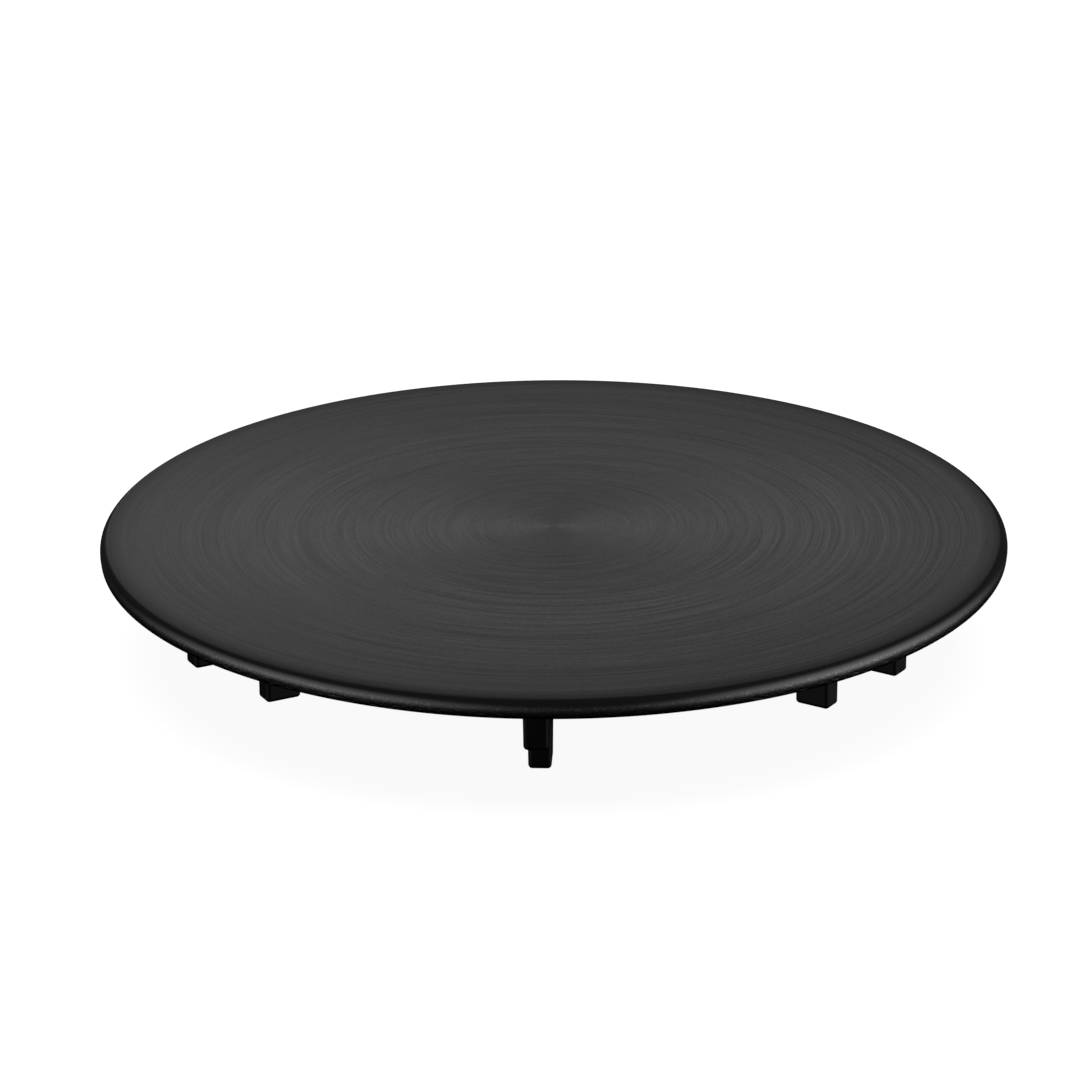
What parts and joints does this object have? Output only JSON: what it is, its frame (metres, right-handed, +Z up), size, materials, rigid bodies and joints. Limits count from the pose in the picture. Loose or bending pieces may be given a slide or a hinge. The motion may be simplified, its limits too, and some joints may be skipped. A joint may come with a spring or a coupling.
{
  "type": "drain cover",
  "caption": "Round brushed black drain cover with a rounded edge, on a moulded carrier whose stepped radial legs rest on a drain's flange and centre it in the bowl.",
  "frame": {"origin": "on the cover's axis, in the plane of the leg tips", "axes": "+Z up along the cover's axis, out of the brushed face; one leg points along -Y, and the others follow at equal angles"},
  "size_m": [0.112, 0.112, 0.0154],
  "materials": {
    "coated_steel": "black coated, brushed in circles",
    "moulded_plastic": "satin black",
    "stud_steel": "bright drawn",
    "spring_steel": "plated"
  },
  "bodies": {
    "root": {"cover_plate": "coated_steel", "leg_carrier": "moulded_plastic", "weld_stud_1": "stud_steel", "weld_stud_2": "stud_steel", "weld_stud_3": "stud_steel", "weld_stud_4": "stud_steel", "weld_stud_5": "stud_steel", "weld_stud_6": "stud_steel", "lock_washer_1": "spring_steel", "lock_washer_2": "spring_steel", "lock_washer_3": "spring_steel", "lock_washer_4": "spring_steel", "lock_washer_5": "spring_steel", "lock_washer_6": "spring_steel"}
  },
  "joints": []
}
